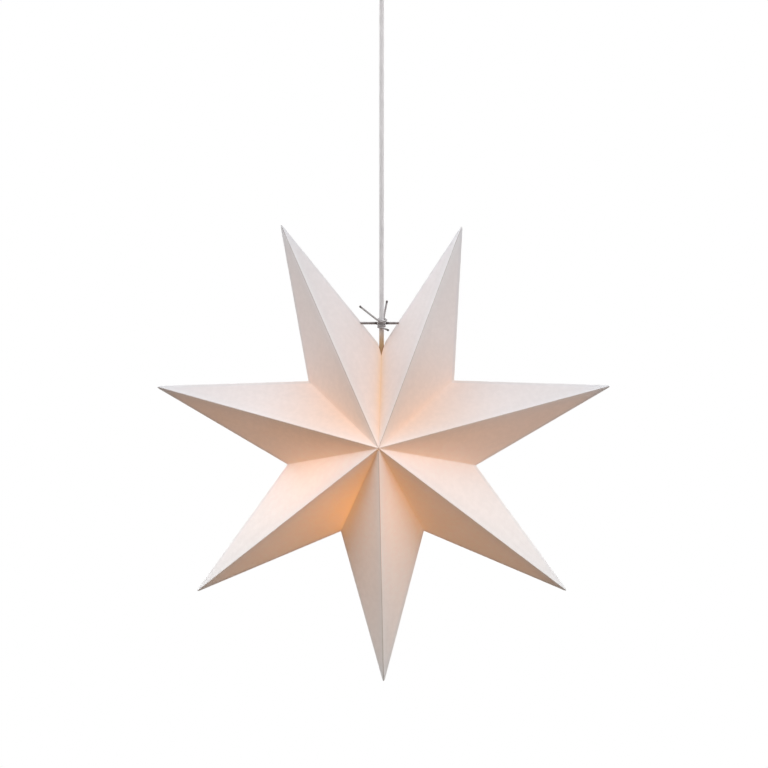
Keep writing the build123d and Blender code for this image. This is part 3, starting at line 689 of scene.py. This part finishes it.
def spaced(places, step):
    """The same line with even steps, by interpolation over its length."""
    run = np.concatenate([[0], np.cumsum(length(np.diff(places, axis=0)))])
    at = np.linspace(0, run[-1], int(run[-1] / step) + 2)
    return np.column_stack([np.interp(at, run, places[:, axis]) for axis in range(3)]), at


def strand_lobes(run, turn, strands, pitch):
    """Share of the radius: the size of a cosine, with one lobe to each strand, that turns once in each pitch."""
    return 1 - LOBE_DEPTH * (1 - np.abs(np.cos(strands / 2 * (turn[None, :] - tau * run[:, None] / pitch))))


def melted_ends(run, radius, bead):
    """Share of the radius at ends that are round over one radius and swell by the bead, which falls off as 1 - s^2."""
    to_end = np.minimum(run, run[-1] - run)
    swell = 1 + bead * np.clip(1 - (to_end / (BEAD_REACH * radius)) ** 2, 0, 1)
    return (rounded(to_end, radius, END_LEAST) * swell)[:, None]


def tube(places, run, size, up, sides):
    """Rings round the line: the size times cosine and sine, in the plane of two vectors square to the line."""
    way = np.gradient(places, run, axis=0)
    way /= length(way)[:, None]
    across = up - (way @ up)[:, None] * way
    across /= length(across)[:, None]
    third = np.cross(way, across)
    turn = np.linspace(0, tau, sides, endpoint=False)
    size = size * np.ones((len(run), sides))
    rings = (places[:, None] + size[..., None] * (np.cos(turn)[None, :, None] * across[:, None]
                                                  + np.sin(turn)[None, :, None] * third[:, None]))
    n = np.arange(len(run) * sides).reshape(len(run), sides)
    right = np.roll(n, -1, axis=1)
    quads = np.stack([n[:-1], right[:-1], right[1:], n[1:]], axis=-1).reshape(-1, 4)
    return rings.reshape(-1, 3), quads.tolist() + [n[0, ::-1].tolist(), n[-1].tolist()]


print("cords are tubes along NURBS routes")

# %% [markdown]
# ## The flex
# The lamp hangs on a round white two-core flex, about 6 mm thick, straight under its own weight. It is one cord in
# the real lamp. Here it is two tubes that meet between the two bend points near the ceiling. Its sheath is smooth
# plastic with faint drawing lines, which follow the tube's own chart so that they bend with it. Inside the star its
# colour is painted brown, as shade with the bulb's warm light on it.

# %% Flex finish
# heights where the painted brown shade inside the star starts and is full
FLEX_SHADE_START, FLEX_SHADE_FULL = -0.497, -0.530            # heights where it starts and ends going brown
FLEX_CLEAN = (0.74, 0.73, 0.75, 1)
FLEX_DUSTY = (0.64, 0.63, 0.65, 1)
# painted shade with the bulb's warm light on it, inside the star
FLEX_INSIDE_SHADE = (0.46, 0.30, 0.16, 1)
SHEATH_LINES, SHEATH_DUST = 5, 35               # cells to the radius, and to the metre
SHEATH_RELIEF = 0.03 * MM


def flex_finish():
    """Sheath in patches of dust and faint lines, with painted brown shade below the height where it enters the star.
    """
    flex, shader, place = new_finish("flex", {"Specular IOR Level": 0.45})
    lines, dust = place.chart().noise(SHEATH_LINES, 2), place.noise(SHEATH_DUST, 4)
    sheath = (dust.between(0.3, 0.75) * 0.8 + lines * 0.2).mix(FLEX_DUSTY, FLEX_CLEAN)
    # painted brown shade inside the star, below the tie
    feed(shader, Base_Color=place.attribute("height").between(FLEX_SHADE_FULL, FLEX_SHADE_START).mix(FLEX_INSIDE_SHADE, sheath),
         Roughness=0.42 + 0.18 * dust, Normal=lines.bump(SHEATH_RELIEF, 0.3))
    return flex


flex = flex_finish()
print("made the finish", flex.name)

# %% Flex tubes
FLEX_RADIUS = 3.1 * MM
FLEX_STEP, FLEX_SIDES = 2 * MM, 28
flex_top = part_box("flex_top")[1].z
flex_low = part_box("flex_cord")[0].z
bend_1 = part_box("flex_neck")[1].z - FLEX_RADIUS
bend_2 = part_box("flex_cord")[1].z - FLEX_RADIUS
flex_join = (bend_1 + bend_2) / 2


def hanging_flex(name, high, low):
    """A straight tube between two heights."""
    places, run = spaced(route([(0, 0, high), (0, 0, (high + low) / 2), (0, 0, low)]), FLEX_STEP)
    points, faces = tube(places, run, FLEX_RADIUS, np.array([0, 1.0, 0]), FLEX_SIDES)
    piece = add_piece(name, points, faces, flex, {"height": points[:, 2]}, points[:, :2] / FLEX_RADIUS)
    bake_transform(piece)
    return piece


flex_upper = hanging_flex("flex_upper", flex_top, flex_join)
flex_lower = hanging_flex("flex_lower", flex_join, flex_low)
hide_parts("flex_top", "flex_neck")
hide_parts("flex_cord")
print("flex is", round(flex_top - flex_low, 3), "m long")

# %% [markdown]
# ## The string tie
# Grey twisted string holds the two seam points together and to the flex. One string goes three times round the flex
# and once more over its own turns. Its two free ends stick out, melted so that they don't fray, and one end of a
# second string stands up behind them. The turns could be rings, but then no end would lead into them, so they are more
# points of the string's own spline, twelve to a turn.

# %% String finish
THREAD_PALE = (0.50, 0.48, 0.485, 1)
THREAD_DARK = (0.25, 0.235, 0.24, 1)
# dark ends: burnt where the free ends are melted, painted shade where the legs' ends lie under the turns
THREAD_BURNT_SHADE = (0.055, 0.04, 0.036, 1)
BURNT_SHADE_END, BURNT_SHADE_FADE, BURNT_SHADE_SHARE = 2.0, 5.5, 0.85             # mm from the cut end
THREAD_CELLS, WORN_CELLS = 2600, 220            # to the metre
THREAD_RELIEF = 0.2 * MM


def string_finish():
    """Thread in pale and dark fibres and worn patches, dark near its ends: burnt at the melted free ends, and painted
    shade where the legs' ends lie under the turns.
    """
    string, shader, place = new_finish("string", {"Sheen Weight": 0.25, "Sheen Roughness": 0.5})
    fibre, worn = place.noise(THREAD_CELLS, 3), place.noise(WORN_CELLS, 3)
    # burnt free ends, and painted shade at the legs' ends under the turns
    burnt_shade = 1 - place.attribute("end").between(BURNT_SHADE_END, BURNT_SHADE_FADE)
    thread = (fibre * 0.6 + worn * 0.4).between(0.3, 0.7).mix(THREAD_DARK, THREAD_PALE)
    feed(shader, Base_Color=(burnt_shade * BURNT_SHADE_SHARE).mix(thread, THREAD_BURNT_SHADE), Roughness=0.7 + 0.25 * fibre,
         Normal=fibre.bump(THREAD_RELIEF, 0.6))
    return string


string = string_finish()
print("made the finish", string.name)

# %% String pieces
STRING_RADIUS = 1.3 * MM
STRING_STEP, STRING_SIDES = 0.35 * MM, 18
STRING_SHARP = radians(70)
STRANDS, STRAND_PITCH = 3, 9 * MM
END_BEAD = 0.25                   # how much a melted end swells
WIND_RADIUS, WIND_TURNS = 4.5 * MM, 4
OVER_RISE = 2.3 * MM              # the last turn lies over the others by this much
OVER_FROM, OVER_SPAN = 3.35, 0.6  # turns over which it rises
WIND_HEIGHTS = ((0, 3, 3.55, 4), (-5.8, 3.0, 6.4, 1.2))         # at these turns, in mm
TURN_POINTS = 12
LOW_TAIL = np.array([10.0, -6.4, -9.6]) * MM
LOW_BEND = np.array([3.2, -0.4, -0.8]) * MM                     # from the first turn
LEFT_TAIL = np.array([-28.6, -7.5, 22.4]) * MM
LEFT_BEND = np.array([-4.5, -0.2, 2.4]) * MM                    # from the last turn
BACK_TAIL = np.array([[1.0, 7.6, -3.0], [3.4, 7.4, 13.0], [7.0, 7.2, 29.6]]) * MM
tie_middle = np.array([0, 0, TIE_HEIGHT])


def string_piece(name, control, up, body, radius=STRING_RADIUS):
    """A twisted string of three strands along the control points. Its attribute end is the distance in mm to the
    nearer cut end."""
    places, run = spaced(route(control), STRING_STEP)
    turn = np.linspace(0, tau, STRING_SIDES, endpoint=False)
    size = radius * strand_lobes(run, turn, STRANDS, STRAND_PITCH) * melted_ends(run, radius, END_BEAD)
    points, faces = tube(places, run, size, np.array(up, float), STRING_SIDES)
    end = np.repeat(np.minimum(run, run[-1] - run) / MM, STRING_SIDES)
    piece = add_piece(name, points, faces, string, {"end": end}, sharp=STRING_SHARP)
    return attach(piece, body), places, run[-1]


def wound_route():
    """A helix round the flex that widens for its last turn, between two tails with a bend each. The spline cuts inside
    its control points, which therefore stand out by one over the cosine of half a step."""
    turn = np.arange(TURN_POINTS * WIND_TURNS + 1) / TURN_POINTS
    wide = (WIND_RADIUS + OVER_RISE * smooth((turn - OVER_FROM) / OVER_SPAN)) / cos(pi / TURN_POINTS)
    angle = -pi / 2 - tau * turn
    winding = np.column_stack([wide * np.cos(angle), wide * np.sin(angle), np.interp(turn, *WIND_HEIGHTS) * MM])
    low_bend, left_bend = winding[0] + LOW_BEND, winding[-1] + LEFT_BEND
    return np.vstack([LOW_TAIL, (LOW_TAIL + low_bend) / 2, low_bend, winding, left_bend,
                      (left_bend + LEFT_TAIL) / 2, LEFT_TAIL])


tie_wrap, tie_places, tie_length = string_piece("tie_string", tie_middle + wound_route(), (0, 0, 1), "tie")
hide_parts("tie_wrap")
tie_tail, _, _ = string_piece("tie_string_end", tie_middle + BACK_TAIL, (0, 1, 0), "tie")
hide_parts("tie_tail")
print("tie string is", round(tie_length, 4), "m long")

# %% [markdown]
# ## Legs of the tie
# From each side of the turns a doubled leg runs through a hole punched in the crease, and a knot inside the point
# stops it. A ball would do for a knot that is hardly seen, but the star opens when it folds. So each leg is one string
# that goes out, once round an overhand knot, and back.

# %% Legs with their stopper knots
KNOT_SIZE, KNOT_DEPTH = 0.72 * MM, 1.2          # the depth is a share
KNOT_POINTS = 30
KNOT_INSET = 3.4 * MM             # from the CAD leg's end to the knot's middle
KNOT_LEAD = 3.0 * MM              # from there to the end of the straight runs
LEG_RADIUS = 1.15 * MM
LEG_TILT = radians(60)            # the two runs lie more behind than above each other
LEG_START = 5.4 * MM              # just inside the turns' outer side
LEG_UP = (0, 0.3, 1)


def stopper_knot(middle, outward):
    """A trefoil, the line of an overhand knot: (sin t + 2 sin 2t, cos t - 2 cos 2t, -sin 3t), sized and set upright
    across the leg. It starts on the leg's side."""
    t = np.linspace(0, tau, KNOT_POINTS) + pi / 2
    depth, width, height = -np.sin(3 * t), np.sin(t) + 2 * np.sin(2 * t), np.cos(t) - 2 * np.cos(2 * t)
    return middle + KNOT_SIZE * np.column_stack([KNOT_DEPTH * depth * outward, width, height])


def tie_leg(node, name, body, outward):
    """The doubled leg: straight from the turns to the knot, once round the knot, and back beside itself."""
    low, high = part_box(node)
    knot_middle = (high.x if outward > 0 else low.x) - outward * KNOT_INSET
    start = outward * LEG_START
    steps = np.array([start, (start + knot_middle) / 2, knot_middle - outward * KNOT_LEAD])
    middle = np.column_stack([steps, np.zeros(3), np.full(3, TIE_HEIGHT)])
    beside = LEG_RADIUS * np.array([0, -sin(LEG_TILT), cos(LEG_TILT)])
    there, back = middle + beside, (middle - beside)[::-1]
    knot = stopper_knot(np.array([knot_middle, 0, TIE_HEIGHT]), outward)
    piece, _, _ = string_piece(name, np.vstack([there, knot, back]), LEG_UP, body, LEG_RADIUS)
    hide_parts(node)
    return piece


leg_left = tie_leg("tie_leg_left", "tie_string_left", "point_1_front_right", -1)
leg_right = tie_leg("tie_leg_right", "tie_string_right", "point_7_front_left", 1)
print("the tie has", len(tie_wrap.data.polygons), "faces and each leg", len(leg_left.data.polygons))

# %% [markdown]
# ## Finishes of the lamp and the ceiling fitting
# The holder, the bulb and the ceiling fitting keep their CAD shapes, which are right. They are seen when the star
# folds, from below and from above. One plain colour each would look like a toy, so each gets the small marks of its
# making: the orange-peel skin and the dust of moulded plastic, drawn lines on brass and copper, the cloudy zinc on
# steel. Two functions make them all, because the parts differ only in their colours and scales.

# %% Plastics and rubber
PEEL_RELIEF = 0.06 * MM
PEEL_CELLS, DUST_CELLS = 900, 45                # to the metre


def moulded(name, colour, dull, roughness, skin=PEEL_CELLS, fixed=None):
    """Moulded skin: a fine orange peel in the bump, with skin cells to the metre, and dust that dulls the colour in
    patches."""
    finish, shader, place = new_finish(name, fixed or {})
    dust, peel = place.noise(DUST_CELLS, 4), place.noise(skin, 2)
    feed(shader, Base_Color=dust.between(0.35, 0.8).mix(dull, colour), Roughness=roughness + 0.18 * dust,
         Normal=peel.bump(PEEL_RELIEF, 0.35))
    return finish


white_plastic = moulded("white_plastic", (0.82, 0.815, 0.80, 1), (0.75, 0.74, 0.72, 1), 0.26)
clear_plastic = moulded("clear_plastic", (0.80, 0.80, 0.77, 1), (0.70, 0.70, 0.66, 1), 0.22,
                        fixed={"Transmission Weight": 0.45, "IOR": 1.5})
white_rubber = moulded("white_rubber", (0.72, 0.71, 0.69, 1), (0.62, 0.61, 0.59, 1), 0.62, 1800)
black_glass = moulded("black_glass", (0.020, 0.020, 0.024, 1), (0.035, 0.033, 0.033, 1), 0.10, 500)
print("made", white_plastic.name, clear_plastic.name, white_rubber.name, black_glass.name)

# %% Metals
LINE_RELIEF = 0.04 * MM


def drawn_metal(name, bright, dark, roughness, lines, spots):
    """Metal with fine lines from drawing or turning, and a stain in clouds. lines and spots are cells to the metre."""
    finish, shader, place = new_finish(name, {"Metallic": 1.0})
    line, stain = place.stretched(*lines).noise(1, 3), place.noise(spots, 4)
    feed(shader, Base_Color=(stain.between(0.35, 0.75) * 0.75 + line * 0.25).mix(dark, bright),
         Roughness=roughness + 0.22 * line + 0.12 * stain, Normal=line.bump(LINE_RELIEF, 0.4))
    return finish


steel = drawn_metal("steel", (0.66, 0.67, 0.69, 1), (0.50, 0.51, 0.52, 1), 0.22, (700, 60, 700), 380)
brass = drawn_metal("brass", (0.80, 0.60, 0.30, 1), (0.62, 0.44, 0.20, 1), 0.18, (90, 90, 2200), 300)
copper_wire = drawn_metal("copper_wire", (0.85, 0.48, 0.34, 1), (0.62, 0.30, 0.20, 1), 0.2, (1500, 1500, 80), 400)
print("made", steel.name, brass.name, copper_wire.name)

# %% [markdown]
# ## The bulb
# A clear bulb shows its filament, which glows orange. Real glass bends the light, so the Principled shader transmits
# all of it, with a faint haze of dust in its roughness. A bright filament needs no lamp: it emits.

# %% Bulb glass and filament
FILAMENT_STRENGTH = 9.0
HAZE_CELLS, HEAT_CELLS = 90, 700                # to the metre


def glass_finish():
    """Clear glass with a haze in patches."""
    glass, shader, place = new_finish("glass", {"Transmission Weight": 1.0, "IOR": 1.45})
    haze = place.noise(HAZE_CELLS, 3)
    feed(shader, Base_Color=haze.mix((0.95, 0.95, 0.94, 1), PLAIN), Roughness=0.01 + 0.05 * haze.between(0.5, 0.8))
    return glass


def filament_finish():
    """Glowing wire that is brighter and paler in places."""
    filament, shader, place = new_finish("filament", {"Emission Strength": FILAMENT_STRENGTH, "Roughness": 0.5})
    heat = place.noise(HEAT_CELLS, 1)
    feed(shader, Base_Color=heat.mix((0.5, 0.3, 0.12, 1), (0.7, 0.45, 0.2, 1)),
         Emission_Color=heat.between(0.2, 0.8).mix((1.0, 0.50, 0.16, 1), (1.0, 0.66, 0.30, 1)))
    return filament


glass, filament = glass_finish(), filament_finish()
print("made", glass.name, filament.name)

# %% [markdown]
# ## Dressing the CAD parts
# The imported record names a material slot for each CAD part. Finishes could be given out by part names, but by slot a
# part that is added to the CAD later is dressed as well.

# %% Finish of every CAD node
finishes = {"paper": paper, "string": string, "flex": flex, "white_plastic": white_plastic,
            "clear_plastic": clear_plastic, "steel": steel, "brass": brass, "copper_wire": copper_wire,
            "white_rubber": white_rubber, "glass": glass, "black_glass": black_glass, "filament": filament}
for part in frame["record"]["subparts"]:
    slots = nodes[part["node"]].data.materials
    slots.clear()
    slots.append(finishes[part["material_slot"]])

# %% [markdown]
# ## Studio
# The lamp hangs free before white, so the floor lies far below it and fades out towards its edge. The light comes from
# broad softboxes all round the star, above, beside and behind it, as in a photographer's tent. The tent's low side is
# warm and dim. What the camera sees of the sky is plain white, and the floor is lifted a little for the camera's eye
# alone. Brighter lamps would whiten both as well, but they would bleach the paper.

# %% Floor
FLOOR_DROP = 2.0                  # metres below the lamp
FLOOR_RADIUS, FLOOR_CLEAR = 1.3, 0.3            # metres, and where it starts to fade
FLOOR_HUB = 0.02
FLOOR_RINGS, FLOOR_SPOKES = 8, 65
FLOOR_PALE = (0.88, 0.88, 0.88, 1)
FLOOR_GREY = (0.86, 0.86, 0.86, 1)
FLOOR_CELLS = 6                   # to the metre
FLOOR_LIFT = 0.35


def seen_by_eye(place):
    """1 for rays from the camera, also by way of metal and glass, and 0 for rays that bring light."""
    ray = place.node("ShaderNodeLightPath", {}, {}, "Is Camera Ray")
    for kind in ("Is Glossy Ray", "Is Transmission Ray"):
        ray = ray.maths("MAXIMUM", ray, place.node("ShaderNodeLightPath", {}, {}, kind))
    return ray


def floor_disc(height):
    """Rings of a flat disc: radius times the cosine and sine of the turn, at one height."""
    radius, around = np.linspace(FLOOR_HUB, FLOOR_RADIUS, FLOOR_RINGS), np.linspace(0, tau, FLOOR_SPOKES)
    level = np.full((FLOOR_RINGS, FLOOR_SPOKES), height)
    points = np.stack([np.outer(radius, np.cos(around)), np.outer(radius, np.sin(around)), level], axis=-1)
    return points.reshape(-1, 3), grid_quads(FLOOR_RINGS, FLOOR_SPOKES).tolist()


def floor_finish():
    """Pale floor that fades out with the distance from its middle and is lifted for the camera's eye."""
    pale, shader, place = new_finish("floor", {"Roughness": 0.9, "Emission Strength": 1.0})
    off_middle = place.stretched(1, 1, 0).distance((0, 0, 0))
    feed(shader, Base_Color=place.noise(FLOOR_CELLS, 3).mix(FLOOR_GREY, FLOOR_PALE),
         Emission_Color=(seen_by_eye(place) * FLOOR_LIFT).times((1, 1, 1)),
         Alpha=1 - off_middle.between(FLOOR_CLEAR, FLOOR_RADIUS))
    return pale


floor_height = cad_box[0][2] - FLOOR_DROP
floor = add_piece("floor", *floor_disc(floor_height), floor_finish())
print("floor at", round(floor_height, 2))

# %% Sky
SKY_TOP = (0.05, 0.05, 0.05, 1)
SKY_LOW = (0.17, 0.13, 0.09, 1)

world = bpy.data.worlds.new("studio")
bpy.context.scene.world = world
world.use_nodes = True
world.node_tree.nodes.clear()
sky = Wire(world.node_tree, world.node_tree.nodes.new("ShaderNodeTexCoord").outputs["Generated"])
rise = sky.height() * 0.5 + 0.5
tent = sky.node("ShaderNodeBackground", {}, {"Color": rise.mix(SKY_LOW, SKY_TOP), "Strength": 1.0})
backdrop = sky.node("ShaderNodeBackground", {}, {"Color": PLAIN, "Strength": 1.0})
shown = sky.node("ShaderNodeMixShader", {}, {0: seen_by_eye(sky), 1: tent, 2: backdrop})
output = world.node_tree.nodes.new("ShaderNodeOutputWorld")
world.node_tree.links.new(shown.socket, output.inputs["Surface"])
print("sky from", SKY_LOW[0], "below to", SKY_TOP[0], "above")

# %% Softboxes
SOFTBOX_DISTANCE = 2.6
SOFTBOX_SIZE = 1.6
SOFTBOXES = {"top_left": ((-0.75, -0.35, 0.56), 26.5), "top_right": ((0.75, -0.35, 0.56), 15.5),
             "top_front": ((0, -0.5, 0.87), 21), "front_right": ((0.55, -0.65, 0.52), 16),
             "side_left": ((-0.97, -0.25, 0), 6.5), "side_right": ((0.97, -0.25, 0), 12),
             "back_left": ((-0.75, 0.35, 0.56), 27), "back_right": ((0.75, 0.35, 0.56), 8),
             "back": ((0.25, 0.95, 0.15), 22)}             # the way to it, and watts


def softbox(name, way, power):
    """A round area lamp at the softbox distance from the star's middle, turned towards it."""
    lamp = bpy.data.lights.new(name, "AREA")
    lamp.shape, lamp.size, lamp.energy = "DISK", SOFTBOX_SIZE, power
    box = bpy.data.objects.new(name, lamp)
    bpy.context.scene.collection.objects.link(box)
    way = Vector(way).normalized()
    box.location = Vector(star_middle) + SOFTBOX_DISTANCE * way
    box.rotation_euler = (-way).to_track_quat("-Z", "Y").to_euler()


for name, (way, power) in SOFTBOXES.items():
    softbox(name, way, power)
bpy.context.scene.view_settings.view_transform = "Standard"
print(len(SOFTBOXES), "softboxes of", sum(power for _, power in SOFTBOXES.values()), "watts in all")

# %% [markdown]
# ## Size and end
# The box of the CAD model, as imported. The dressed lamp may not outgrow the CAD model.

# %% Boxes
print("CAD box", np.round(cad_box, 4).tolist())
